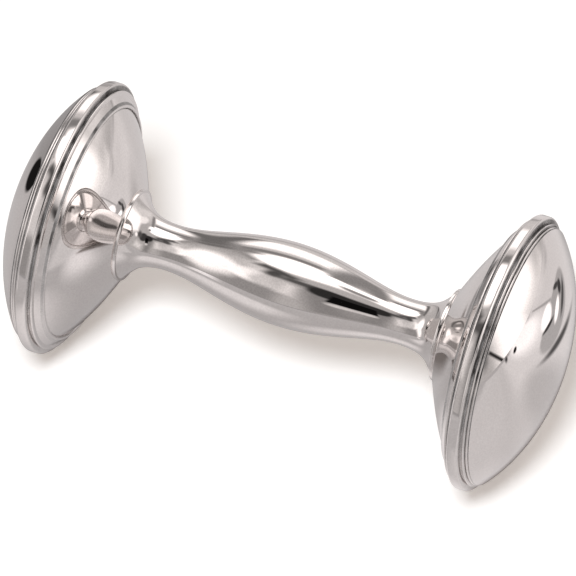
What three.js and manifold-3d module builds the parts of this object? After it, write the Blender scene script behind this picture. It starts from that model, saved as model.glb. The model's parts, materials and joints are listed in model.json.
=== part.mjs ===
// A dumbbell rattle in polished silver: a hollow baluster handle between two drum-like heads.
// The axis of the rattle is X, Z is up, and the origin is the middle of the handle, on the axis.
// The rattle lies on its two rims. All sizes are in millimetres.

import * as THREE from "three";
import { mergeVertices } from "three/addons/utils/BufferGeometryUtils.js";
import Module from "manifold-3d";

const wasm = await Module();
wasm.setup();

// Whole rattle
const RIM_RADIUS = 22.5;
const RIM_SPACING = 73.1; // from the middle plane of one rim to that of the other
const SHEET = 0.5; // thickness of the pressed silver
const FIT_GAP = 0.3; // between loose or curved neighbours
const HEAD_SIDES = 40; // flats round a head; one of them is at the bottom, for the rattle to lie on
const HANDLE_SIDES = 32;

// Handle
const HANDLE_LENGTH = 53.5;
const SWELL_RADIUS = 6.8;
const NECK_RADIUS = 3.8;
const FLARE_STEP = 0.4; // from the funnel's throat down to the handle's flared end
// Each row: share of the half length, share of the rise from neck to swell, share of that to flare.
const HANDLE_OUTLINE_SHARES = [
  [0, 1, 0],
  [0.222, 0.84, 0],
  [0.454, 0.412, 0],
  [0.626, 0.081, 0],
  [0.787, 0, 0],
  [0.908, 0, 0.25],
  [1, 0, 1],
];
const HANDLE_OUTSIDE_STEPS = 24;
const HANDLE_INSIDE_STEPS = 12;

// Ring soldered between the handle and a funnel, and the disc that closes the funnel's throat
const SEAM_RING_WIDTH = 0.5;
const SEAM_RING_LAP = 2.3; // from the funnel's throat in to the ring's bore
const SEAM_RING_PROUD = 0.25; // beyond the throat of the funnel
const THROAT_DISC_THICKNESS = 0.5;

// Funnel-shaped back of a head
const THROAT_RADIUS = 7.5;
const SHOULDER_DROP = 3.5; // from the rim's radius down to the crease where the funnel ends
const SHOULDER_SETBACK = 1.65; // from the rim band back to that crease
const FUNNEL_BEND_SHARES = [0.56, 0.71]; // along and out: where the tangents of its two ends meet
const FUNNEL_OUTSIDE_STEPS = 7;
const FUNNEL_INSIDE_STEPS = 4;
const BORDER_LIP = 0.3; // radius of the rounded lip with which the border starts beyond the crease
const BORDER_LIP_TURN = THREE.MathUtils.degToRad(135);
const BORDER_LIP_STEPS = 3;
const BORDER_DROP = 1.75; // from the rim's radius down to the border's outer edge

// Rim band and the reeding on both sides of it
const BAND_WIDTH = 2;
const BAND_DEPTH = 1.8; // radial thickness
const BAND_LAND = 1; // width of the worn flat along its crown
const BAND_EDGE_DROP = 0.7;
const BAND_ARC_STEPS = 3;
const REED_WIDTH = 0.5;
const REED_HEIGHT = 0.45;
const REED_FOOT_DROP = 1.3; // from the rim's radius down to the foot of the reeds beside the band
const REED_DESCENT = 0.35; // from the foot of a dome reed down to that of the next
const REED_STEPS = 4;
const DOME_REEDS = 2;
const BAND_GROOVE_WIDTH = 0.2;
const DOME_GROOVE_WIDTH = 0.1;

// Domed front of a head
const DOME_DROP = 1.5; // from the rim's radius down to the dome's edge
const DOME_HEIGHT = 7.05;
const DOME_ARC = THREE.MathUtils.degToRad(52); // the part of a quarter ellipse that the dome takes
const DOME_OUTSIDE_STEPS = 8;
const DOME_INSIDE_STEPS = 6;

// Loose pellets in a head
const PELLET_RADIUS = 2;
const PELLET_SHIFT = 0.22; // from the rim's middle plane towards the dome
const PELLET_RIM_GAP = 0.4; // from the rim's bore, for the head's walls beside it to be clear too
const PELLETS = 3;
const PELLET_SIDES = 12;
const PELLET_RINGS = 8;

// Planes along the axis of the head at the positive end
const handleEnd = HANDLE_LENGTH / 2;
const throatPlane = handleEnd + SEAM_RING_WIDTH;
const rimPlane = RIM_SPACING / 2;
const bandBack = rimPlane - BAND_WIDTH / 2;
const bandFront = rimPlane + BAND_WIDTH / 2;
const shoulderPlane = bandBack - SHOULDER_SETBACK;
const firstDomeReed = bandFront + BAND_GROOVE_WIDTH;
const domePlane = firstDomeReed + DOME_REEDS * REED_WIDTH + DOME_GROOVE_WIDTH;
const pelletPlane = rimPlane + PELLET_SHIFT;

// Radii
const flareRadius = THROAT_RADIUS - FLARE_STEP;
const ringBore = THROAT_RADIUS - SEAM_RING_LAP;
const shoulderRadius = RIM_RADIUS - SHOULDER_DROP;
const reedFoot = RIM_RADIUS - REED_FOOT_DROP;
const bandBore = RIM_RADIUS - BAND_DEPTH;
const domeRadius = RIM_RADIUS - DOME_DROP;
const pelletTrack = bandBore - PELLET_RIM_GAP - PELLET_RADIUS;

const metal = (color, roughness) => new THREE.MeshStandardMaterial({ color, roughness, metalness: 1 });

const named = (name, geometry, material) => {
  const mesh = new THREE.Mesh(geometry, material);
  mesh.name = name;
  return mesh;
};

// Turns a closed outline of [along, radius] points about the X axis.
// The radii are those of the flats, and a flat lies square to each of the Y and Z axes.
function turned(outline, sides) {
  const corner = 1 / Math.cos(Math.PI / sides);
  const points = outline.map(([along, radius]) => new THREE.Vector2(radius * corner, along));
  const closes = outline[0][1] === 0 && outline.at(-1)[1] === 0;
  if (!closes) points.push(points[0].clone());
  return new THREE.LatheGeometry(points, sides, Math.PI / sides).rotateZ(-Math.PI / 2);
}

// The wall's other face: each point moves by the wall's thickness towards the axis, square to the outline.
// An end on a joint plane keeps its place along the axis, and so does a point on the axis its radius.
function innerFace(outline, wall) {
  return outline.map(([along, radius], i) => {
    const before = outline[Math.max(i - 1, 0)];
    const after = outline[Math.min(i + 1, outline.length - 1)];
    const run = new THREE.Vector2(after[0] - before[0], after[1] - before[1]).normalize();
    if (radius === 0) return [along - wall, 0];
    if (i === 0 || i === outline.length - 1) return [along, radius - wall / Math.abs(run.x)];
    return [along + wall * run.y, radius - wall * run.x];
  });
}

const pairs = (points) => points.map((p) => [p.x, p.y]);

// Part above or below the joint plane of the handle
function cutByPlane(geometry, keepAbove) {
  const solid = (g) => {
    g.deleteAttribute("normal");
    g.deleteAttribute("uv");
    const merged = mergeVertices(g);
    return new wasm.Manifold(
      new wasm.Mesh({
        numProp: 3,
        vertProperties: merged.attributes.position.array,
        triVerts: new Uint32Array(merged.index.array),
      }),
    );
  };
  const span = 2 * HANDLE_LENGTH;
  const block = new THREE.BoxGeometry(span, span, span).translate(0, 0, keepAbove ? -span / 2 : span / 2);
  const cut = solid(geometry).subtract(solid(block)).getMesh();
  return new THREE.BufferGeometry()
    .setAttribute("position", new THREE.BufferAttribute(cut.vertProperties, 3))
    .setIndex(new THREE.BufferAttribute(cut.triVerts, 1));
}

function handleOutline(steps) {
  const half = HANDLE_OUTLINE_SHARES.map(
    ([place, swell, flare]) =>
      new THREE.Vector2(
        place * handleEnd,
        NECK_RADIUS + swell * (SWELL_RADIUS - NECK_RADIUS) + flare * (flareRadius - NECK_RADIUS),
      ),
  );
  const otherHalf = half.slice(1).map((p) => new THREE.Vector2(-p.x, p.y));
  return pairs(new THREE.SplineCurve([...otherHalf.reverse(), ...half]).getPoints(steps));
}

// The handle's two pressed half shells meet at the level of the axis.
function handleHalf(name, isUpper) {
  const outside = handleOutline(HANDLE_OUTSIDE_STEPS);
  const inside = innerFace(handleOutline(HANDLE_INSIDE_STEPS), SHEET);
  const tube = turned([...outside, ...inside.reverse()], HANDLE_SIDES);
  return named(name, cutByPlane(tube, isUpper), metal(0xc9c1bd, 0.12));
}

// Points of a half-round reed that stands on a foot radius
function reed(start, foot) {
  return Array.from({ length: REED_STEPS + 1 }, (_, i) => {
    const angle = (Math.PI * i) / REED_STEPS;
    return [start + (REED_WIDTH * (1 - Math.cos(angle))) / 2, foot + REED_HEIGHT * Math.sin(angle)];
  });
}

function seamRing(name) {
  const ringRadius = THROAT_RADIUS + SEAM_RING_PROUD;
  const crown = ringRadius - SEAM_RING_WIDTH / 2;
  const round = Array.from({ length: REED_STEPS + 1 }, (_, i) => {
    const angle = (Math.PI * i) / REED_STEPS;
    const along = (SEAM_RING_WIDTH * (1 - Math.cos(angle))) / 2;
    return [handleEnd + along, crown + (SEAM_RING_WIDTH * Math.sin(angle)) / 2];
  });
  const outline = [...round, [throatPlane, ringBore], [handleEnd, ringBore]];
  return named(name, turned(outline, HANDLE_SIDES), metal(0xd8d1cc, 0.15));
}

function funnelCurve(steps) {
  const [alongShare, outShare] = FUNNEL_BEND_SHARES;
  const bend = new THREE.Vector2(
    throatPlane + alongShare * (shoulderPlane - throatPlane),
    THROAT_RADIUS + outShare * (shoulderRadius - THROAT_RADIUS),
  );
  const start = new THREE.Vector2(throatPlane, THROAT_RADIUS);
  const end = new THREE.Vector2(shoulderPlane, shoulderRadius);
  return pairs(new THREE.QuadraticBezierCurve(start, bend, end).getPoints(steps));
}

// Closes the throat, so that the pellets stay in the head
function throatDisc(name) {
  const mouth = innerFace(funnelCurve(FUNNEL_INSIDE_STEPS), SHEET)[0][1];
  const radius = mouth - FIT_GAP;
  const face = throatPlane + THROAT_DISC_THICKNESS;
  const outline = [
    [throatPlane, 0],
    [throatPlane, radius],
    [face, radius],
    [face, 0],
  ];
  return named(name, turned(outline, HANDLE_SIDES), metal(0xa8a29e, 0.4));
}

// The rounded lip that overhangs the crease, from the crease to where it runs into the border
function borderLip() {
  return Array.from({ length: BORDER_LIP_STEPS }, (_, i) => {
    const angle = (BORDER_LIP_TURN * (i + 1)) / BORDER_LIP_STEPS;
    return [shoulderPlane - BORDER_LIP * Math.sin(angle), shoulderRadius + BORDER_LIP * (1 - Math.cos(angle))];
  });
}

// A funnel with its border and the reed beside the band
function funnelShell(name) {
  const reedStart = bandBack - BAND_GROOVE_WIDTH - REED_WIDTH;
  const borderEnd = [reedStart, RIM_RADIUS - BORDER_DROP];
  const border = [...borderLip(), borderEnd];
  const edge = [...reed(reedStart, reedFoot), [bandBack, reedFoot], [bandBack, bandBore]];
  const inside = innerFace([...funnelCurve(FUNNEL_INSIDE_STEPS), borderEnd], SHEET).slice(0, -1);
  const outline = [...funnelCurve(FUNNEL_OUTSIDE_STEPS), ...border, ...edge, ...inside.reverse()];
  return named(name, turned(outline, HEAD_SIDES), metal(0xc4bbb7, 0.12));
}

function rimBand(name) {
  const edge = RIM_RADIUS - BAND_EDGE_DROP;
  const shoulder = (BAND_WIDTH - BAND_LAND) / 2;
  const rise = Array.from({ length: BAND_ARC_STEPS + 1 }, (_, i) => {
    const angle = (Math.PI / 2) * (i / BAND_ARC_STEPS);
    return [shoulder * (1 - Math.cos(angle)), edge + BAND_EDGE_DROP * Math.sin(angle)];
  });
  const back = rise.map(([along, radius]) => [bandBack + along, radius]);
  const front = rise.map(([along, radius]) => [bandFront - along, radius]).reverse();
  const outline = [...back, ...front, [bandFront, bandBore], [bandBack, bandBore]];
  return named(name, turned(outline, HEAD_SIDES), metal(0xd6cfcb, 0.1));
}

// Points of the dome from its edge to the middle, along an arc of an ellipse
function domeCurve(steps) {
  const level = Math.cos(DOME_ARC);
  return Array.from({ length: steps + 1 }, (_, i) => {
    const angle = DOME_ARC * (1 - i / steps);
    const rise = (Math.cos(angle) - level) / (1 - level);
    return [domePlane + DOME_HEIGHT * rise, (domeRadius * Math.sin(angle)) / Math.sin(DOME_ARC)];
  });
}

function domeShell(name) {
  const reeds = Array.from({ length: DOME_REEDS }, (_, i) =>
    reed(firstDomeReed + i * REED_WIDTH, reedFoot - i * REED_DESCENT),
  );
  const outside = [[bandFront, reedFoot], ...reeds.flat(), ...domeCurve(DOME_OUTSIDE_STEPS)];
  const inside = innerFace(domeCurve(DOME_INSIDE_STEPS), SHEET).slice(1);
  const outline = [[bandFront, bandBore], ...outside, ...inside.reverse()];
  return named(name, turned(outline, HEAD_SIDES), metal(0xcfc5c3, 0.1));
}

// The pellets lie side by side in the groove behind the rim band.
function pellet(name, index) {
  const spacing = 2 * Math.asin((2 * PELLET_RADIUS + FIT_GAP) / (2 * pelletTrack));
  const angle = (index - (PELLETS - 1) / 2) * spacing;
  const ball = new THREE.SphereGeometry(PELLET_RADIUS, PELLET_SIDES, PELLET_RINGS);
  const mesh = named(name, ball, metal(0x77726f, 0.45));
  mesh.position.set(pelletPlane, pelletTrack * Math.sin(angle), -pelletTrack * Math.cos(angle));
  return mesh;
}

function head(side) {
  const group = new THREE.Group();
  group.add(
    seamRing(`${side}_seam_ring`),
    throatDisc(`${side}_throat_disc`),
    funnelShell(`${side}_funnel_shell`),
    rimBand(`${side}_rim_band`),
    domeShell(`${side}_dome_shell`),
  );
  for (let i = 0; i < PELLETS; i++) group.add(pellet(`${side}_pellet_${i + 1}`, i));
  return group;
}

const rattle = new THREE.Group();
rattle.add(handleHalf("handle_upper_half", true), handleHalf("handle_lower_half", false));

const rightHead = head("right");
const leftHead = head("left");
leftHead.rotation.z = Math.PI;
rattle.add(rightHead, leftHead);

export default rattle;
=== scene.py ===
"""A dumbbell rattle in polished silver, lying on its two rims in soft studio light."""

import json
import math

import bmesh
import bpy
import numpy as np
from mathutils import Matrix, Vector, noise

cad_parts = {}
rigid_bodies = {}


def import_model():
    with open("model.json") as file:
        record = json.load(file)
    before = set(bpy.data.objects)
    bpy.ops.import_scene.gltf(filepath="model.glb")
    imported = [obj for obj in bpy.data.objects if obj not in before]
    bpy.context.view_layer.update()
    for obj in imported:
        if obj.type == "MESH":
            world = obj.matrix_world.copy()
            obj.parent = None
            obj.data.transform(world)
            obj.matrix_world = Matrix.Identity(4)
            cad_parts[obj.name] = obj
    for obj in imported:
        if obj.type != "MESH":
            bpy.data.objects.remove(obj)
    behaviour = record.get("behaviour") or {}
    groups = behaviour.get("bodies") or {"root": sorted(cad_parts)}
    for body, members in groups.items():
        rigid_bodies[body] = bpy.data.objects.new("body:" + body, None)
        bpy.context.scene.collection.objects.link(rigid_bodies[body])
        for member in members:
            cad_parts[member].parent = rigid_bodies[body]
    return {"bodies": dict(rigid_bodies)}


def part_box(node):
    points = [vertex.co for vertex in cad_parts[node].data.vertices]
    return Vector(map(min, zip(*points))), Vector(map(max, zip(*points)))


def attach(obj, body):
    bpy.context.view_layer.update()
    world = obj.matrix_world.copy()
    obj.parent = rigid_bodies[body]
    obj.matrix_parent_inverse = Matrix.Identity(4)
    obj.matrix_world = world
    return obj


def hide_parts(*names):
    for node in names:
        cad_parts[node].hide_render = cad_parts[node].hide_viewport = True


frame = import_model()

bl_info = {
    "name": "Dumbbell Rattle",
    "version": (1, 0, 0),
    "blender": (4, 5, 0),
    "location": "3D View > Sidebar > Rattle",
    "description": "Builds a polished silver dumbbell rattle and the studio it lies in",
    "category": "Add Mesh",
}

MM = 0.001
SIDES = {"left": -1, "right": 1}

# Planes and radii that the frame gives, for the head at the positive end
RING_LOW, RING_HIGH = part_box("right_seam_ring")
BAND_LOW, BAND_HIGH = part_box("right_rim_band")
DISC_LOW, DISC_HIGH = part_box("right_throat_disc")
HANDLE_END = RING_LOW.x
THROAT_PLANE = RING_HIGH.x
BAND_BACK = BAND_LOW.x
BAND_FRONT = BAND_HIGH.x
DOME_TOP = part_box("right_dome_shell")[1].x
RING_RADIUS = RING_HIGH.z
DISC_RADIUS = DISC_HIGH.z
RIM_RADIUS = BAND_HIGH.z
FLOOR_LEVEL = BAND_LOW.z

# From the funnel's throat in to the seam ring's bore, and the width of the disc's broken edges
RING_LAP = 2.3 * MM
DISC_BEVEL = 0.1 * MM

# Shares of the half length, of the rise from neck to swell, and of the rise from neck to flare
HANDLE_OUTLINE_SHARES = [
    (0, 1, 0),
    (0.222, 0.84, 0),
    (0.454, 0.412, 0),
    (0.626, 0.081, 0),
    (0.787, 0, 0),
    (0.908, 0, 0.25),
    (1, 0, 1),
]

# Where the funnel's end tangents meet, as shares of its length and of its rise, and the lip's turn
FUNNEL_BEND_SHARES = (0.56, 0.71)
BORDER_LIP_TURN = math.radians(135)

# Facets: fine enough for the reflections to run smoothly
HEAD_STEPS_AROUND = 192
HANDLE_STEPS_AROUND = 128
DISC_STEPS_AROUND = 128
HANDLE_STEPS_ALONG = 160
LINING_STEPS = 24
FUNNEL_STEPS = 48
DOME_STEPS = 64
REED_STEPS = 12
LIP_STEPS = 9
BAND_ARC_STEPS = 10
SHARP_TURN = math.radians(28)

# The cast pellets: how fine they are, how many lumps a radius holds, and how far the skin draws in
PELLET_SUBDIVISIONS = 4
PELLET_LUMPS = 1.7
PELLET_DENT_SHARE = 0.012

# The polished silver: sizes of its patches, and how far they change its colour, polish and height
CLOUD_SIZE = 9 * MM
CLOUD_SHARES = (0.95, 0.945, 0.94)
SPECK_SIZE = 0.3 * MM
SPECK_STRENGTH = 0.7
SPECK_SHARES = (0.84, 0.83, 0.83)
SMEAR_LENGTH = 8 * MM
SMEAR_WIDTH = 0.5 * MM
SMEAR_SHARE = 0.35
HAZE_SIZE = 6 * MM
HAZE_SHARES = (0.65, 1.0)
WAVE_SIZE = 7 * MM
WAVE_HEIGHT = 0.012 * MM
MARK_LENGTH = 6 * MM
MARK_WIDTH = 0.25 * MM
MARK_SHARE = 0.012

# Painted shade in the rims' grooves and crease: widest beside the bands, patchy, fading towards the bottom
GROOVE_SHADE_COLOUR = (0.02, 0.016, 0.014)
GROOVE_SHADE_ROUGHNESS = 0.5
BAND_SHADE_WIDTH = 0.24 * MM
REED_SHADE_WIDTH = 0.12 * MM
SHADE_CORE_SHARE = 0.6
SHADE_PATCH_SIZE = 3 * MM
SHADE_PATCH_SHARE = 0.5
SHADE_BOTTOM_SHARE = 0.2
SHADE_FADED_BELOW = -4 * MM
SHADE_FULL_ABOVE = 13 * MM

# The stains of the unpolished metals, as shares of their colour
STAIN_SHARES = (0.68, 0.64, 0.58)

# The picture that the camera matches: its side, and where the rattle's middle falls, in pixels
PICTURE_SIZE = 576
PICTURE_CENTRE = Vector((289.1, 284.8))
SENSOR_WIDTH_IN_MM = 36

# The floor's half side and the radius of the shell that glows in reflections only, both in metres
FLOOR_HALF = 2.0
SKY_RADIUS = 0.25
SKY_SEGMENTS = 96
SKY_RINGS = 64
REFLECTOR_COLOUR = (1.0, 0.955, 0.94)
WHITE = (1, 1, 1)

# What the silver mirrors, as painted reflections in place of a real studio: a brightness, and the shapes
# painted over it. Each shape: kind, across, up, half width, half height, turn in degrees, brightness,
# half width of its soft edge. On the floor the sizes are in millimetres, along X and Y. In the sky they
# are degrees: across is measured like the camera's azimuth, and up is the elevation.
FLOOR_TONE = (0.45, [
    ("box", 100, 225, 110, 60, -30, 0.62, 20),
    ("box", -40, -230, 150, 45, 0, 0.3, 22),
    ("box", -25, 90, 35, 65, 0, 0.64, 15),
    ("box", 60, 115, 60, 48, 0, 0.76, 15),
    ("box", 130, 60, 85, 65, 0, 0.74, 12),
    ("oval", 205, 50, 92, 28, 8, 1.25, 9),
    ("box", 120, -25, 90, 20, 0, 0.6, 8),
    ("oval", -28, -38, 24, 20, 0, 0.74, 10),
    ("oval", 22, -13, 18, 8, 0, 0.8, 6),
    ("oval", 62, 10, 24, 10, 0, 0.52, 6),
    ("box", -120, -133, 78, 8, 52, 0.88, 6),
    ("oval", 205, 132, 55, 42, 0, 0.85, 28),
    ("oval", 12, 6, 20, 8, 0, 0.5, 6),
    ("box", 150, 76, 52, 1.6, 16, 0.42, 1.5),
    ("oval", 192, 27, 17, 4, 15, 0.01, 1.5),
    ("oval", 212, 9, 24, 3, 6, 0.06, 2),
    ("box", -115, 12, 60, 16, -8, 0.52, 8),
    ("box", -115, 55, 60, 14, -10, 0.34, 6),
    ("oval", -140, 39, 44, 12, -14, 0.01, 1.5),
    ("box", -120, 88, 62, 12, -6, 0.25, 6),
    ("oval", -88, 84, 14, 9, -10, 0.08, 5),
    ("oval", 83, 48, 19, 25, 0, 0.45, 1.5),
    ("oval", 104, 50, 15, 9, 40, 1.4, 2),
    ("oval", 78, 60, 7, 3, 60, 0.06, 1),
    ("oval", 88, 66, 8, 2.5, 20, 0.08, 1),
    ("oval", 92, 40, 8, 2.5, -30, 0.05, 1),
    ("oval", 80, 47, 8, 3.5, 80, 1.4, 1),
    ("oval", 70, 50, 2.5, 10, 0, 0.1, 1),
    ("oval", 66, 28, 15, 2.5, -35, 0.1, 1.5),
])
SKY_TONE = (0.5, [
    ("oval", 180, 25, 50, 32, 0, 0.66, 12),
    ("oval", -146, 76, 25, 19, -34, 1.9, 5),
    ("box", -164, 26, 18, 14, -16, 1.35, 4),
    ("box", -153, 51, 18, 4.5, -23, 0.24, 3),
    ("box", 171, 39, 4, 28, 9, 0.27, 3),
    ("box", -138, 28, 4, 28, -39, 0.17, 3),
    ("box", -126, 49, 5, 6, -29, 0.28, 4),
    ("box", -104, 56, 4, 10, -51, 0.35, 4),
    ("oval", -54, 32, 11, 32, 60, 1.6, 4),
    ("box", -39, 46, 9, 28, 39, 0.7, 8),
    ("oval", -49, 20, 9, 30, 0, 1.3, 4),
    ("box", -28, 8, 13, 17, 0, 0.31, 6),
    ("box", -11, 38, 4, 14, 0, 0.85, 6),
    ("box", 9, 29, 8, 34, 0, 0.27, 7),
    ("box", -51, 69, 13, 4.5, 16, 0.1, 4),
    ("oval", -41, 62, 5, 8, 21, 0.08, 3),
    ("oval", 4, 64, 22, 5, -4, 0.1, 3),
    ("oval", 45, 48, 16, 16, -45, 0.05, 4),
    ("oval", 19, 56, 10, 12, -19, 0.03, 2.5),
    ("box", 21, 45, 4.5, 10, -21, 0.005, 0.8),
    ("oval", 15, 30, 4, 4, -15, 0.7, 2),
    ("box", 42, 12, 14, 9, 0, 0.8, 7),
    ("oval", 68, 40, 12, 9, 0, 0.1, 5),
    ("oval", 75, 27, 6, 4, 0, 1.2, 2),
    ("oval", 152, 5, 20, 22, 0, 0.8, 8),
    ("box", 109, 12, 21, 24, 0, 1.4, 7),
    ("oval", 134, 36, 14, 12, 0, 1.05, 5),
    ("oval", 146, -6, 20, 9, 0, 0.5, 7),
    ("box", 124, -6, 14, 5, 0, 0.85, 5),
    ("oval", 79, 9, 3, 8, 0, 0.06, 2),
    ("oval", 112, 75, 5, 4, 0, 0.3, 2),
    ("box", 87.8, -1, 8, 0.8, -55, 0.03, 0.6),
])


class RattleSizes(bpy.types.PropertyGroup):
    """Sizes of the silver pieces."""

    sheet: bpy.props.FloatProperty(
        name="Sheet", description="Thickness of the pressed silver", default=0.5 * MM, unit="LENGTH",
        precision=5)
    swell_radius: bpy.props.FloatProperty(
        name="Swell", description="Radius of the handle's middle", default=6.8 * MM, unit="LENGTH",
        precision=5)
    neck_radius: bpy.props.FloatProperty(
        name="Neck", description="Radius of the handle's two necks", default=3.8 * MM, unit="LENGTH",
        precision=5)
    flare_radius: bpy.props.FloatProperty(
        name="Flare", description="Radius of the handle's two ends", default=7.1 * MM, unit="LENGTH",
        precision=5)
    ring_proud: bpy.props.FloatProperty(
        name="Ring proud", description="How far the seam ring stands beyond the funnel's throat",
        default=0.25 * MM, unit="LENGTH", precision=5)
    ring_wear: bpy.props.FloatProperty(
        name="Ring wear", description="How far polishing has worn the seam ring down", default=0.2 * MM,
        unit="LENGTH", precision=5)
    shoulder_drop: bpy.props.FloatProperty(
        name="Shoulder drop", description="From the rim's radius down to the crease where the funnel ends",
        default=3.5 * MM, unit="LENGTH", precision=5)
    shoulder_setback: bpy.props.FloatProperty(
        name="Shoulder setback", description="From the rim band back to that crease",
        default=1.65 * MM, unit="LENGTH", precision=5)
    border_lip: bpy.props.FloatProperty(
        name="Border lip", description="Radius of the rounded lip with which the border starts",
        default=0.3 * MM, unit="LENGTH", precision=5)
    border_drop: bpy.props.FloatProperty(
        name="Border drop", description="From the rim's radius down to the border's outer edge",
        default=1.75 * MM, unit="LENGTH", precision=5)
    band_depth: bpy.props.FloatProperty(
        name="Band depth", description="Radial thickness of the rim band", default=1.8 * MM, unit="LENGTH",
        precision=5)
    band_land: bpy.props.FloatProperty(
        name="Band land", description="Width of the flat along the band's crown", default=1 * MM,
        unit="LENGTH", precision=5)
    band_edge_drop: bpy.props.FloatProperty(
        name="Band edge drop", description="Rise from the band's edges to its crown", default=0.7 * MM,
        unit="LENGTH", precision=5)
    reed_width: bpy.props.FloatProperty(
        name="Reed width", description="Width of one half-round reed", default=0.5 * MM, unit="LENGTH",
        precision=5)
    reed_height: bpy.props.FloatProperty(
        name="Reed height", description="How far a worn reed stands up", default=0.3 * MM, unit="LENGTH",
        precision=5)
    reed_foot_drop: bpy.props.FloatProperty(
        name="Reed foot drop", default=1.3 * MM, unit="LENGTH", precision=5,
        description="From the rim's radius down to the foot of the reeds beside the band")
    reed_descent: bpy.props.FloatProperty(
        name="Reed descent", description="From the foot of a dome reed down to that of the next",
        default=0.35 * MM, unit="LENGTH", precision=5)
    band_groove: bpy.props.FloatProperty(
        name="Band groove", description="Width of the grooves beside the band", default=0.2 * MM,
        unit="LENGTH", precision=5)
    dome_groove: bpy.props.FloatProperty(
        name="Dome groove", description="Width of the groove round the dome", default=0.1 * MM,
        unit="LENGTH", precision=5)
    dome_reeds: bpy.props.IntProperty(
        name="Dome reeds", description="Number of reeds round the dome", default=2, min=1)
    dome_drop: bpy.props.FloatProperty(
        name="Dome drop", description="From the rim's radius down to the dome's edge", default=1.5 * MM,
        unit="LENGTH", precision=5)
    dome_arc: bpy.props.FloatProperty(
        name="Dome arc", description="The part of a quarter ellipse that the dome takes",
        default=math.radians(52), subtype="ANGLE")


class RattleFinish(bpy.types.PropertyGroup):
    """Colours and polish of the metals."""

    silver: bpy.props.FloatVectorProperty(
        name="Silver", description="Colour of the polished silver", subtype="COLOR", size=3, min=0, max=1,
        default=(0.93, 0.893, 0.877))
    polish: bpy.props.FloatProperty(
        name="Polish", description="Roughness of the polished silver where it is haziest", default=0.018,
        min=0, max=1, subtype="FACTOR")
    lining: bpy.props.FloatVectorProperty(
        name="Lining", description="Colour of the silver inside the heads", subtype="COLOR", size=3, min=0,
        max=1, default=(0.62, 0.59, 0.57))
    shot: bpy.props.FloatVectorProperty(
        name="Shot", description="Colour of the pellets", subtype="COLOR", size=3, min=0, max=1,
        default=(0.42, 0.41, 0.40))


class RattleStudio(bpy.types.PropertyGroup):
    """The camera, the light and the floor."""

    azimuth: bpy.props.FloatProperty(
        name="Azimuth", description="Camera's direction, round from the front towards the right head",
        default=math.radians(22.7), subtype="ANGLE")
    elevation: bpy.props.FloatProperty(
        name="Elevation", description="Camera's height above the floor, as an angle",
        default=math.radians(49.3), subtype="ANGLE")
    distance: bpy.props.FloatProperty(
        name="Distance", description="From the camera to the rattle", default=1.1748, unit="LENGTH")
    focal_length: bpy.props.FloatProperty(
        name="Focal length", description="Lens of the camera, in millimetres", default=465.4, unit="CAMERA")
    floor_tone: bpy.props.FloatVectorProperty(
        name="Floor", description="Colour of the pale floor", subtype="COLOR", size=3, min=0, max=1,
        default=(0.85, 0.84, 0.83))
    floor_fill: bpy.props.FloatVectorProperty(
        name="Floor fill", description="What lifts the floor to white for the camera", subtype="COLOR",
        size=3, min=0, max=1, default=(0.26, 0.235, 0.215))
    fill_light: bpy.props.FloatVectorProperty(
        name="Fill light", description="Even light from all round", subtype="COLOR", size=3, min=0, max=1,
        default=(0.40, 0.375, 0.36))
    lamp_power: bpy.props.FloatProperty(
        name="Lamp", description="Power of the soft lamp, in watts", default=11.5, min=0, unit="POWER")
    lamp_colour: bpy.props.FloatVectorProperty(
        name="Lamp colour", description="Colour of the soft lamp", subtype="COLOR", size=3, min=0, max=1,
        default=(0.92, 0.96, 1.0))
    lamp_size: bpy.props.FloatProperty(
        name="Lamp size", description="Diameter of the soft lamp", default=0.32, unit="LENGTH")
    lamp_left: bpy.props.FloatProperty(
        name="Lamp left", default=0.13, subtype="FACTOR",
        description="How far left of the camera the lamp stands, as a share of its distance")
    lamp_up: bpy.props.FloatProperty(
        name="Lamp up", default=0.21, subtype="FACTOR",
        description="How far above the camera the lamp stands, as a share of its distance")


def smooth_outline(points, steps):
    """Points along the cubic spline that runs through the given ones with even bending."""
    knots = np.array(points, dtype=float)
    count = len(knots)
    place = np.concatenate([[0], np.cumsum(np.hypot(*np.diff(knots, axis=0).T))])
    gap = np.diff(place)
    system = np.eye(count)
    target = np.zeros((count, 2))
    for i in range(1, count - 1):
        system[i, i - 1:i + 2] = gap[i - 1], 2 * (gap[i - 1] + gap[i]), gap[i]
        target[i] = 6 * ((knots[i + 1] - knots[i]) / gap[i] - (knots[i] - knots[i - 1]) / gap[i - 1])
    bend = np.linalg.solve(system, target)
    result = []
    for spot in np.linspace(0, place[-1], steps + 1):
        i = min(np.searchsorted(place, spot, side="right") - 1, count - 2)
        ahead, behind, width = place[i + 1] - spot, spot - place[i], gap[i]
        result.append(tuple(
            (bend[i] * ahead**3 + bend[i + 1] * behind**3) / (6 * width)
            + (knots[i] / width - bend[i] * width / 6) * ahead
            + (knots[i + 1] / width - bend[i + 1] * width / 6) * behind))
    return result


def bent_line(start, bend, end, steps):
    """Points of the curve from start to end whose end tangents meet at bend."""
    result = []
    for i in range(steps + 1):
        t = i / steps
        weights = ((1 - t) ** 2, 2 * t * (1 - t), t ** 2)
        result.append(tuple(
            sum(weight * point[k] for weight, point in zip(weights, (start, bend, end))) for k in (0, 1)))
    return result


def half_round(start, foot, width, height):
    """Points of a half-round reed that stands on a foot radius."""
    angles = (math.pi * i / REED_STEPS for i in range(REED_STEPS + 1))
    return [
        (start + width * (1 - math.cos(angle)) / 2, foot + height * math.sin(angle)) for angle in angles]


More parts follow.
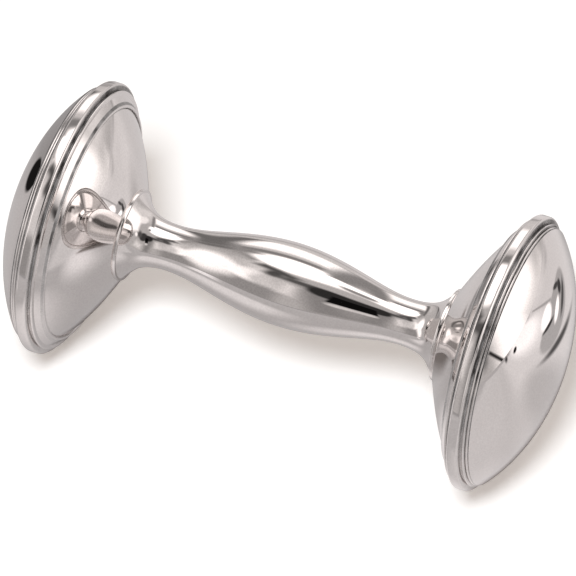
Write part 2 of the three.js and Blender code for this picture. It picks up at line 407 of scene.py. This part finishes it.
def lining(outline, wall):
    """The wall's inner face: each point moves by the wall's thickness, square to the outline."""
    result = []
    for i, (along, radius) in enumerate(outline):
        before = outline[max(i - 1, 0)]
        after = outline[min(i + 1, len(outline) - 1)]
        run = Vector((after[0] - before[0], after[1] - before[1])).normalized()
        if radius == 0:
            result.append((along - wall, 0))
        elif i in (0, len(outline) - 1):
            result.append((along, radius - wall / abs(run.x)))
        else:
            result.append((along + wall * run.y, radius - wall * run.x))
    return result


def is_corner(before, point, after):
    """Whether the outline turns sharply at the point."""
    first = Vector((point[0] - before[0], point[1] - before[1]))
    second = Vector((after[0] - point[0], after[1] - point[1]))
    return first.length > 0 and second.length > 0 and abs(first.angle_signed(second)) > SHARP_TURN


def turn(name, outline, around, side=1):
    """A closed solid of revolution about X from a closed outline of (along, radius) points."""
    mesh = bpy.data.meshes.new(name)
    form = bmesh.new()
    angles = [2 * math.pi * k / around for k in range(around)]
    rings = []
    for along, radius in outline:
        if radius == 0:
            rings.append([form.verts.new((side * along, 0, 0))])
        else:
            rings.append([
                form.verts.new((side * along, radius * math.sin(angle), -radius * math.cos(angle)))
                for angle in angles])
    for i, ring in enumerate(rings):
        after = rings[(i + 1) % len(rings)]
        if len(ring) == len(after) == 1:
            continue
        for k in range(around):
            j = (k + 1) % around
            corners = (ring[k % len(ring)], ring[j % len(ring)], after[j % len(after)], after[k % len(after)])
            form.faces.new(dict.fromkeys(corners))
    for i, ring in enumerate(rings):
        if len(ring) > 1 and is_corner(outline[i - 1], outline[i], outline[(i + 1) % len(outline)]):
            for k in range(around):
                form.edges.get((ring[k], ring[(k + 1) % around])).smooth = False
    for face in form.faces:
        face.smooth = True
    bmesh.ops.recalc_face_normals(form, faces=form.faces)
    form.to_mesh(mesh)
    form.free()
    piece = bpy.data.objects.new(name, mesh)
    bpy.context.scene.collection.objects.link(piece)
    return piece


def finish_piece(piece, body, slot, material, *replaced):
    """Gives the piece its metal and its body, and hides the nodes that it stands for."""
    piece.data.materials.append(material)
    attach(piece, body)
    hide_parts(*replaced)


def make_pair(name, replaced, outline, around, slot, material):
    """Turns the right head's piece and its mirror image in the left head."""
    for side, sign in SIDES.items():
        piece = turn(f"{side}_{name}", outline, around, sign)
        finish_piece(piece, "root", slot, material, f"{side}_{replaced}")


def node(tree, kind, inputs=(), output=None, **settings):
    """Adds a node, fills its inputs with values or links, and gives the named or first output, if any."""
    made = tree.nodes.new(f"ShaderNode{kind}")
    for name, value in settings.items():
        setattr(made, name, value)
    for slot, value in (inputs.items() if isinstance(inputs, dict) else enumerate(inputs)):
        if isinstance(value, bpy.types.NodeSocket):
            tree.links.new(value, made.inputs[slot])
        else:
            made.inputs[slot].default_value = value
    if output:
        return made.outputs[output]
    return next((socket for socket in made.outputs if socket.enabled), None)


def grain(tree, across, along=None, detail=2.0):
    """Irregular tone from 0 to 1 whose patches have the given sizes across and along the rattle's axis."""
    spot = node(tree, "TexCoord", output="Object")
    scaled = node(tree, "VectorMath", [spot, (1 / (along or across), 1 / across, 1 / across)],
                  operation="MULTIPLY")
    return node(tree, "TexNoise", {"Vector": scaled, "Scale": 1.0, "Detail": detail})


def spread(tree, tone, low, high, lowest=0.3, highest=0.7):
    """Stretches a tone between two values, with what lies beyond the two limits cut off."""
    return node(tree, "MapRange", [tone, lowest, highest, low, high])


def blend_colours(tree, factor, first, second):
    """A colour between two others, each a tuple or a socket."""
    pair = {
        name: value if isinstance(value, bpy.types.NodeSocket) else (*value, 1)
        for name, value in (("A", first), ("B", second))}
    return node(tree, "Mix", {"Factor": factor, **pair}, data_type="RGBA")


def shaded(colour, shares):
    """A colour with each channel multiplied by its share."""
    return tuple(channel * share for channel, share in zip(colour, shares))


def relief(tree, height, distance):
    """The surface's direction where a tone from 0 to 1 raises it by up to a distance."""
    return node(tree, "Bump", {"Strength": 1.0, "Distance": distance, "Height": height})


def metal(name, paint):
    """The metal of that name, made at its first use: paint gives the sockets for the shader's inputs."""
    found = bpy.data.materials.get(name)
    if found:
        return found
    material = bpy.data.materials.new(name)
    material.use_nodes = True
    tree = material.node_tree
    shader = tree.nodes["Principled BSDF"]
    shader.inputs["Metallic"].default_value = 1
    for slot, value in paint(tree).items():
        tree.links.new(value, shader.inputs[slot])
    return material


def rim_painted_shade(tree):
    """Painted shade in the grooves and the crease of the rims, from 0 to 1, fading towards the bottom."""
    size = bpy.context.scene.rattle_sizes
    crease = BAND_BACK - size.shoulder_setback
    reeds = BAND_FRONT + size.band_groove
    planes = {
        crease: BAND_SHADE_WIDTH,
        BAND_BACK - size.band_groove / 2: BAND_SHADE_WIDTH,
        BAND_FRONT + size.band_groove / 2: BAND_SHADE_WIDTH}
    planes.update({reeds + (i + 1) * size.reed_width: REED_SHADE_WIDTH for i in range(size.dome_reeds)})
    split = node(tree, "SeparateXYZ", [node(tree, "TexCoord", output="Object")]).node
    along = node(tree, "Math", [split.outputs["X"]], operation="ABSOLUTE")
    groove_shade = 0.0
    for plane, width in planes.items():
        off = node(tree, "Math", [along, plane], operation="SUBTRACT")
        gap = node(tree, "Math", [off], operation="ABSOLUTE")
        patch = spread(tree, gap, 1.0, 0.0, SHADE_CORE_SHARE * width, width)
        groove_shade = node(tree, "Math", [groove_shade, patch], operation="MAXIMUM")
    flat = node(tree, "CombineXYZ", [0.0, split.outputs["Y"], split.outputs["Z"]])
    radius = node(tree, "VectorMath", [flat], output="Value", operation="LENGTH")
    inner = RIM_RADIUS - size.shoulder_drop
    near = spread(tree, radius, 0.0, 1.0, inner - BAND_SHADE_WIDTH, inner)
    patchy = spread(tree, grain(tree, SHADE_PATCH_SIZE), SHADE_PATCH_SHARE, 1.0)
    # The painted shade is strongest at the top of the rims and fades towards their bottom
    higher_up = spread(
        tree, split.outputs["Z"], SHADE_BOTTOM_SHARE, 1.0, SHADE_FADED_BELOW, SHADE_FULL_ABOVE)
    for share in (near, patchy, higher_up):
        groove_shade = node(tree, "Math", [groove_shade, share], operation="MULTIPLY")
    return groove_shade


def polished_silver():
    """Hand-polished silver: soft clouding, fine wiping marks, faint waves, and painted shade in the grooves.
    """
    look = bpy.context.scene.rattle_finish

    def paint(tree):
        # Painted shade for the grooves and the crease, which the colour, roughness and metal below take on
        groove_shade = rim_painted_shade(tree)
        clouds = spread(tree, grain(tree, CLOUD_SIZE, detail=3.0), 0.0, 1.0)
        clear = blend_colours(tree, clouds, look.silver, shaded(look.silver, CLOUD_SHARES))
        specks = spread(tree, grain(tree, SPECK_SIZE, detail=1.0), 0.0, SPECK_STRENGTH)
        worn = blend_colours(tree, specks, clear, shaded(look.silver, SPECK_SHARES))
        smears = spread(tree, grain(tree, SMEAR_WIDTH, along=SMEAR_LENGTH), -SMEAR_SHARE, SMEAR_SHARE)
        haze = spread(tree, grain(tree, HAZE_SIZE, detail=3.0), *HAZE_SHARES)
        mixed = node(tree, "Math", [smears, haze], operation="ADD")
        smooth = node(tree, "Math", [mixed, look.polish], operation="MULTIPLY")
        waves = grain(tree, WAVE_SIZE, detail=0.0)
        marks = spread(tree, grain(tree, MARK_WIDTH, along=MARK_LENGTH), 0.0, MARK_SHARE)
        height = node(tree, "Math", [waves, marks], operation="ADD")
        return {
            "Base Color": blend_colours(tree, groove_shade, worn, GROOVE_SHADE_COLOUR),
            "Roughness": node(tree, "Mix", {"Factor": groove_shade, "A": smooth, "B": GROOVE_SHADE_ROUGHNESS}),
            "Metallic": node(tree, "Math", [1.0, groove_shade], operation="SUBTRACT"),
            "Normal": relief(tree, height, WAVE_HEIGHT)}

    return metal("hand_polished_silver", paint)


def dull_metal(name, colour, stain_size, patch_size, least_rough, most_rough, pit_size, pit_depth):
    """An unpolished metal: darker stains, patches that differ in roughness, and a pitted skin."""
    def paint(tree):
        stains = spread(tree, grain(tree, stain_size, detail=4.0), 0.0, 1.0)
        patches = grain(tree, patch_size, detail=3.0)
        pits = grain(tree, pit_size, detail=3.0)
        return {
            "Base Color": blend_colours(tree, stains, colour, shaded(colour, STAIN_SHARES)),
            "Roughness": spread(tree, patches, least_rough, most_rough),
            "Normal": relief(tree, pits, pit_depth)}

    return metal(name, paint)


def inner_silver():
    """Unpolished silver sheet inside the heads."""
    return dull_metal(
        "unpolished_silver", bpy.context.scene.rattle_finish.lining, stain_size=2.5 * MM,
        patch_size=1.2 * MM, least_rough=0.34, most_rough=0.52, pit_size=0.2 * MM, pit_depth=0.01 * MM)


def dull_shot():
    """Grey shot with a cast skin."""
    return dull_metal(
        "cast_shot", bpy.context.scene.rattle_finish.shot, stain_size=0.5 * MM, patch_size=0.4 * MM,
        least_rough=0.36, most_rough=0.62, pit_size=0.12 * MM, pit_depth=0.02 * MM)


class RATTLE_OT_handle(bpy.types.Operator):
    """Make the hollow baluster handle, with the seam of its two halves polished away"""

    bl_idname = "rattle.handle"
    bl_label = "Handle"

    def execute(self, context):
        size = context.scene.rattle_sizes
        swell = size.swell_radius - size.neck_radius
        flare = size.flare_radius - size.neck_radius
        half = [
            (place * HANDLE_END, size.neck_radius + swell_share * swell + flare_share * flare)
            for place, swell_share, flare_share in HANDLE_OUTLINE_SHARES]
        whole = [(-along, radius) for along, radius in reversed(half[1:])] + half
        outside = smooth_outline(whole, HANDLE_STEPS_ALONG)
        inside = lining(smooth_outline(whole, 2 * LINING_STEPS), size.sheet)
        piece = turn("handle", outside + inside[::-1], HANDLE_STEPS_AROUND)
        finish_piece(
            piece, "root", "polished_silver", polished_silver(), "handle_upper_half", "handle_lower_half")
        return {"FINISHED"}


class RATTLE_OT_seam_rings(bpy.types.Operator):
    """Make the two raised rings soldered between the handle and the heads"""

    bl_idname = "rattle.seam_rings"
    bl_label = "Seam rings"

    def execute(self, context):
        size = context.scene.rattle_sizes
        throat = RING_RADIUS - size.ring_proud
        bore = throat - RING_LAP
        crown = half_round(
            HANDLE_END, throat, THROAT_PLANE - HANDLE_END, size.ring_proud - size.ring_wear)
        outline = [*crown, (THROAT_PLANE, bore), (HANDLE_END, bore)]
        make_pair("ring", "seam_ring", outline, HEAD_STEPS_AROUND, "polished_silver", polished_silver())
        return {"FINISHED"}


class RATTLE_OT_throat_discs(bpy.types.Operator):
    """Make the two discs that keep the pellets in the heads"""

    bl_idname = "rattle.throat_discs"
    bl_label = "Throat discs"

    def execute(self, context):
        back, face = DISC_LOW.x, DISC_HIGH.x
        outline = [
            (back, 0), (back, DISC_RADIUS - DISC_BEVEL), (back + DISC_BEVEL, DISC_RADIUS),
            (face - DISC_BEVEL, DISC_RADIUS), (face, DISC_RADIUS - DISC_BEVEL), (face, 0)]
        make_pair("disc", "throat_disc", outline, DISC_STEPS_AROUND, "inner_silver", inner_silver())
        return {"FINISHED"}


def lip_outline(shoulder, radius):
    """Points of the rounded lip that overhangs the crease, up to where it runs into the border."""
    angles = (BORDER_LIP_TURN * (i + 1) / LIP_STEPS for i in range(LIP_STEPS))
    return [
        (shoulder[0] - radius * math.sin(angle), shoulder[1] + radius * (1 - math.cos(angle)))
        for angle in angles]


class RATTLE_OT_funnels(bpy.types.Operator):
    """Make the trumpet-shaped backs of the heads, with a raised border and a reed at their edge"""

    bl_idname = "rattle.funnels"
    bl_label = "Funnels"

    def execute(self, context):
        size = context.scene.rattle_sizes
        throat = RING_RADIUS - size.ring_proud
        shoulder = BAND_BACK - size.shoulder_setback, RIM_RADIUS - size.shoulder_drop
        bend = (
            THROAT_PLANE + FUNNEL_BEND_SHARES[0] * (shoulder[0] - THROAT_PLANE),
            throat + FUNNEL_BEND_SHARES[1] * (shoulder[1] - throat))
        reed_start = BAND_BACK - size.band_groove - size.reed_width
        reed_foot = RIM_RADIUS - size.reed_foot_drop
        border_end = (reed_start, RIM_RADIUS - size.border_drop)
        outside = bent_line((THROAT_PLANE, throat), bend, shoulder, FUNNEL_STEPS)
        border = [*lip_outline(shoulder, size.border_lip), border_end]
        reed = half_round(reed_start, reed_foot, size.reed_width, size.reed_height)
        edge = [*reed, (BAND_BACK, reed_foot), (BAND_BACK, RIM_RADIUS - size.band_depth)]
        under = bent_line((THROAT_PLANE, throat), bend, shoulder, LINING_STEPS)
        inside = lining([*under, border_end], size.sheet)[:-1]
        outline = [*outside, *border, *edge, *inside[::-1]]
        make_pair("funnel", "funnel_shell", outline, HEAD_STEPS_AROUND, "polished_silver", polished_silver())
        return {"FINISHED"}


class RATTLE_OT_rim_bands(bpy.types.Operator):
    """Make the thick rounded bands that the rattle lies on"""

    bl_idname = "rattle.rim_bands"
    bl_label = "Rim bands"

    def execute(self, context):
        size = context.scene.rattle_sizes
        edge = RIM_RADIUS - size.band_edge_drop
        shoulder = (BAND_FRONT - BAND_BACK - size.band_land) / 2
        angles = (math.pi / 2 * i / BAND_ARC_STEPS for i in range(BAND_ARC_STEPS + 1))
        rise = [
            (shoulder * (1 - math.cos(angle)), edge + size.band_edge_drop * math.sin(angle))
            for angle in angles]
        back = [(BAND_BACK + along, radius) for along, radius in rise]
        front = [(BAND_FRONT - along, radius) for along, radius in reversed(rise)]
        bore = RIM_RADIUS - size.band_depth
        outline = [*back, *front, (BAND_FRONT, bore), (BAND_BACK, bore)]
        make_pair("band", "rim_band", outline, HEAD_STEPS_AROUND, "polished_silver", polished_silver())
        return {"FINISHED"}


def dome_outline(size, steps, plane):
    """Points of the dome from its edge to the middle, along an arc of an ellipse."""
    level = math.cos(size.dome_arc)
    edge = RIM_RADIUS - size.dome_drop
    result = []
    for i in range(steps + 1):
        angle = size.dome_arc * (1 - i / steps)
        rise = (math.cos(angle) - level) / (1 - level)
        radius = edge * math.sin(angle) / math.sin(size.dome_arc)
        result.append((plane + (DOME_TOP - plane) * rise, radius))
    return result


class RATTLE_OT_domes(bpy.types.Operator):
    """Make the domed fronts of the heads, with fine reeds round their edge"""

    bl_idname = "rattle.domes"
    bl_label = "Domes"

    def execute(self, context):
        size = context.scene.rattle_sizes
        foot = RIM_RADIUS - size.reed_foot_drop
        bore = RIM_RADIUS - size.band_depth
        start = BAND_FRONT + size.band_groove
        border = [(BAND_FRONT, bore), (BAND_FRONT, foot)]
        for i in range(size.dome_reeds):
            border += half_round(
                start + i * size.reed_width, foot - i * size.reed_descent, size.reed_width, size.reed_height)
        plane = start + size.dome_reeds * size.reed_width + size.dome_groove
        outside = dome_outline(size, DOME_STEPS, plane)
        inside = lining(dome_outline(size, LINING_STEPS, plane), size.sheet)[1:]
        outline = [*border, *outside, *inside[::-1]]
        make_pair("dome", "dome_shell", outline, HEAD_STEPS_AROUND, "polished_silver", polished_silver())
        return {"FINISHED"}


class RATTLE_OT_pellets(bpy.types.Operator):
    """Make the loose pellets that sound inside the heads"""

    bl_idname = "rattle.pellets"
    bl_label = "Pellets"

    def execute(self, context):
        for body in frame["bodies"]:
            if "pellet" not in body:
                continue
            low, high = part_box(body)
            centre = (low + high) / 2
            radius = (high.z - low.z) / 2
            form = bmesh.new()
            bmesh.ops.create_icosphere(form, subdivisions=PELLET_SUBDIVISIONS, radius=radius)
            for vert in form.verts:
                bump = noise.noise(vert.co / radius * PELLET_LUMPS + centre / MM)
                vert.co *= 1 - PELLET_DENT_SHARE * (1 + bump)
                vert.co += centre
            for face in form.faces:
                face.smooth = True
            mesh = bpy.data.meshes.new(f"{body}_shot")
            form.to_mesh(mesh)
            form.free()
            piece = bpy.data.objects.new(f"{body}_shot", mesh)
            context.scene.collection.objects.link(piece)
            finish_piece(piece, body, "shot", dull_shot(), body)
        return {"FINISHED"}


class RATTLE_OT_studio(bpy.types.Operator):
    """Set the camera, the pale floor, the soft light and the room that the silver mirrors"""

    bl_idname = "rattle.studio"
    bl_label = "Studio"

    def execute(self, context):
        place_camera(context.scene)
        lay_floor(context.scene)
        light_the_room(context.scene)
        raise_sky(context.scene)
        return {"FINISHED"}


def towards_camera(studio):
    """Unit vector from the rattle to the camera."""
    return Vector((
        math.sin(studio.azimuth) * math.cos(studio.elevation),
        -math.cos(studio.azimuth) * math.cos(studio.elevation),
        math.sin(studio.elevation)))


def place_camera(scene):
    """A long lens, aimed so that the rattle's middle falls where the picture has it."""
    studio = scene.rattle_studio
    camera = bpy.data.objects.new("camera", bpy.data.cameras.new("camera"))
    scene.collection.objects.link(camera)
    scene.camera = camera
    lens = camera.data
    lens.sensor_width = SENSOR_WIDTH_IN_MM
    lens.lens = studio.focal_length
    away = towards_camera(studio)
    camera.rotation_euler = away.to_track_quat("Z", "Y").to_euler()
    turned = camera.rotation_euler.to_matrix()
    per_pixel = studio.distance * lens.sensor_width / (lens.lens * PICTURE_SIZE)
    off = PICTURE_CENTRE - Vector((PICTURE_SIZE / 2, PICTURE_SIZE / 2))
    aside = turned @ Vector((-off.x * per_pixel, off.y * per_pixel, 0))
    camera.location = away * studio.distance + aside


def floor_place(tree, across, up, turn_angle):
    """The place on the floor, in millimetres from a shape's middle and turned with the shape."""
    spot = node(tree, "TexCoord", output="Object")
    shifted = node(tree, "VectorMath", [spot, (across * MM, up * MM, 0)], operation="SUBTRACT")
    turned = node(tree, "VectorRotate", {"Vector": shifted, "Angle": -math.radians(turn_angle)},
                  rotation_type="Z_AXIS")
    return node(tree, "VectorMath", {0: turned, "Scale": 1 / MM}, operation="SCALE")


def sky_place(tree, azimuth, elevation, turn_angle):
    """The direction from the rattle, in degrees from a shape's middle and turned with the shape."""
    spot = node(tree, "TexCoord", output="Object")
    way = node(tree, "VectorMath", [spot], operation="NORMALIZE")
    angles = (math.radians(turn_angle), -math.radians(elevation), math.radians(azimuth - 90))
    turned = node(tree, "VectorRotate", {"Vector": way, "Rotation": angles}, rotation_type="EULER_XYZ",
                  invert=True)
    # The stereographic map round the shape's middle, which lies along X, laid into the plane of X and Y
    ahead = node(tree, "SeparateXYZ", [turned])
    nearness = node(tree, "Math", [ahead, 1.0], operation="ADD")
    stretch = node(tree, "Math", [math.degrees(2), nearness], operation="DIVIDE")
    wide = node(tree, "VectorMath", {0: turned, "Scale": stretch}, operation="SCALE")
    return node(tree, "VectorRotate", {"Vector": wide, "Rotation": (0, -math.pi / 2, -math.pi / 2)},
                rotation_type="EULER_XYZ")


def beyond_oval(tree, spot, half_width, half_height):
    """About how far a place lies beyond the edge of an oval round the origin."""
    least = min(half_width, half_height)
    shares = node(tree, "VectorMath", [spot, (1 / half_width, 1 / half_height, 0)], operation="MULTIPLY")
    reach = node(tree, "VectorMath", [shares], output="Value", operation="LENGTH")
    return node(tree, "Math", [reach, least, -least], operation="MULTIPLY_ADD")


def beyond_box(tree, spot, half_width, half_height):
    """How far a place lies beyond the nearest side of a box round the origin."""
    offset = node(tree, "VectorMath", [spot], operation="ABSOLUTE")
    past = node(tree, "VectorMath", [offset, (half_width, half_height, 0)], operation="SUBTRACT")
    split = node(tree, "SeparateXYZ", [past]).node
    return node(tree, "Math", [split.outputs["X"], split.outputs["Y"]], operation="MAXIMUM")


def painted_tone(tree, place, base, shapes):
    """The brightness of a surface that carries soft-edged ovals and boxes, each painted over the last."""
    tone = base
    for kind, across, up, half_width, half_height, turn_angle, value, soft in shapes:
        spot = place(tree, across, up, turn_angle)
        measure = beyond_oval if kind == "oval" else beyond_box
        beyond = measure(tree, spot, half_width, half_height)
        cover = node(tree, "MapRange", [beyond, -soft, soft, 1, 0], interpolation_type="SMOOTHSTEP")
        tone = node(tree, "Mix", {"Factor": cover, "A": tone, "B": value})
    return tone


def lay_floor(scene):
    """A wide pale floor under the two rims; the camera sees it white, and the silver sees it painted."""
    studio = scene.rattle_studio
    mesh = bpy.data.meshes.new("floor")
    corners = [
        (-FLOOR_HALF, -FLOOR_HALF, 0), (FLOOR_HALF, -FLOOR_HALF, 0),
        (FLOOR_HALF, FLOOR_HALF, 0), (-FLOOR_HALF, FLOOR_HALF, 0)]
    mesh.from_pydata(corners, [], [(0, 1, 2, 3)])
    floor = bpy.data.objects.new("floor", mesh)
    floor.location.z = FLOOR_LEVEL
    scene.collection.objects.link(floor)
    material = bpy.data.materials.new("pale_floor")
    material.use_nodes = True
    tree = material.node_tree
    tree.nodes.clear()
    ray = node(tree, "LightPath").node
    brightness = painted_tone(tree, floor_place, *FLOOR_TONE)
    painted = node(tree, "VectorMath", {0: REFLECTOR_COLOUR, "Scale": brightness}, operation="SCALE")
    tone = blend_colours(tree, ray.outputs["Is Glossy Ray"], studio.floor_tone, painted)
    matt = node(tree, "BsdfDiffuse", [tone])
    glow = node(tree, "Emission", [(*studio.floor_fill, 1), ray.outputs["Is Camera Ray"]])
    node(tree, "OutputMaterial", [node(tree, "AddShader", [matt, glow])])
    mesh.materials.append(material)


def light_the_room(scene):
    """A soft lamp beside the camera for the shadow, and an even fill from all round."""
    studio = scene.rattle_studio
    scene.world = bpy.data.worlds.new("room")
    scene.world.use_nodes = True
    tree = scene.world.node_tree
    seen = node(tree, "LightPath", output="Is Camera Ray")
    tree.links.new(
        blend_colours(tree, seen, studio.fill_light, WHITE), tree.nodes["Background"].inputs["Color"])
    lamp = bpy.data.lights.new("soft_lamp", "AREA")
    lamp.shape = "DISK"
    lamp.energy = studio.lamp_power
    lamp.color = studio.lamp_colour
    lamp.size = studio.lamp_size
    lamp_object = bpy.data.objects.new("soft_lamp", lamp)
    away = towards_camera(studio)
    left = away.cross(Vector((0, 0, 1))).normalized()
    up = left.cross(away)
    direction = (away + left * studio.lamp_left + up * studio.lamp_up).normalized()
    lamp_object.location = direction * studio.distance
    lamp_object.rotation_euler = direction.to_track_quat("Z", "Y").to_euler()
    lamp_object.visible_glossy = False
    scene.collection.objects.link(lamp_object)
    scene.view_settings.view_transform = "Standard"


def raise_sky(scene):
    """A wide glowing shell all round that only the silver's reflections show."""
    mesh = bpy.data.meshes.new("sky")
    form = bmesh.new()
    bmesh.ops.create_uvsphere(form, u_segments=SKY_SEGMENTS, v_segments=SKY_RINGS, radius=SKY_RADIUS)
    for face in form.faces:
        face.smooth = True
    form.to_mesh(mesh)
    form.free()
    sky = bpy.data.objects.new("sky", mesh)
    scene.collection.objects.link(sky)
    sky.visible_camera = False
    sky.visible_diffuse = False
    sky.visible_shadow = False
    sky.visible_transmission = False
    material = bpy.data.materials.new("painted_sky")
    material.use_nodes = True
    material.cycles.emission_sampling = "NONE"
    tree = material.node_tree
    tree.nodes.clear()
    glow = node(tree, "Emission", [(*REFLECTOR_COLOUR, 1), painted_tone(tree, sky_place, *SKY_TONE)])
    node(tree, "OutputMaterial", [glow])
    mesh.materials.append(material)


class RATTLE_PT_panel(bpy.types.Panel):
    """Buttons for the rattle's pieces and its studio"""

    bl_idname = "RATTLE_PT_panel"
    bl_label = "Dumbbell Rattle"
    bl_space_type = "VIEW_3D"
    bl_region_type = "UI"
    bl_category = "Rattle"

    def draw(self, context):
        for operator in OPERATORS:
            self.layout.operator(operator.bl_idname)


OPERATORS = (
    RATTLE_OT_handle,
    RATTLE_OT_seam_rings,
    RATTLE_OT_throat_discs,
    RATTLE_OT_funnels,
    RATTLE_OT_rim_bands,
    RATTLE_OT_domes,
    RATTLE_OT_pellets,
    RATTLE_OT_studio,
)
SETTINGS = {"rattle_sizes": RattleSizes, "rattle_finish": RattleFinish, "rattle_studio": RattleStudio}


def register():
    """Registers the settings, the operators and the panel."""
    for name, group in SETTINGS.items():
        bpy.utils.register_class(group)
        setattr(bpy.types.Scene, name, bpy.props.PointerProperty(type=group))
    for operator in OPERATORS:
        bpy.utils.register_class(operator)
    bpy.utils.register_class(RATTLE_PT_panel)


def unregister():
    """Removes what register added."""
    bpy.utils.unregister_class(RATTLE_PT_panel)
    for operator in reversed(OPERATORS):
        bpy.utils.unregister_class(operator)
    for name, group in SETTINGS.items():
        delattr(bpy.types.Scene, name)
        bpy.utils.unregister_class(group)


def main():
    """Registers the add-on and builds everything."""
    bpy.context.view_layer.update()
    register()
    bpy.ops.rattle.handle()
    bpy.ops.rattle.seam_rings()
    bpy.ops.rattle.throat_discs()
    bpy.ops.rattle.funnels()
    bpy.ops.rattle.rim_bands()
    bpy.ops.rattle.domes()
    bpy.ops.rattle.pellets()
    bpy.ops.rattle.studio()


if __name__ == "__main__":
    main()
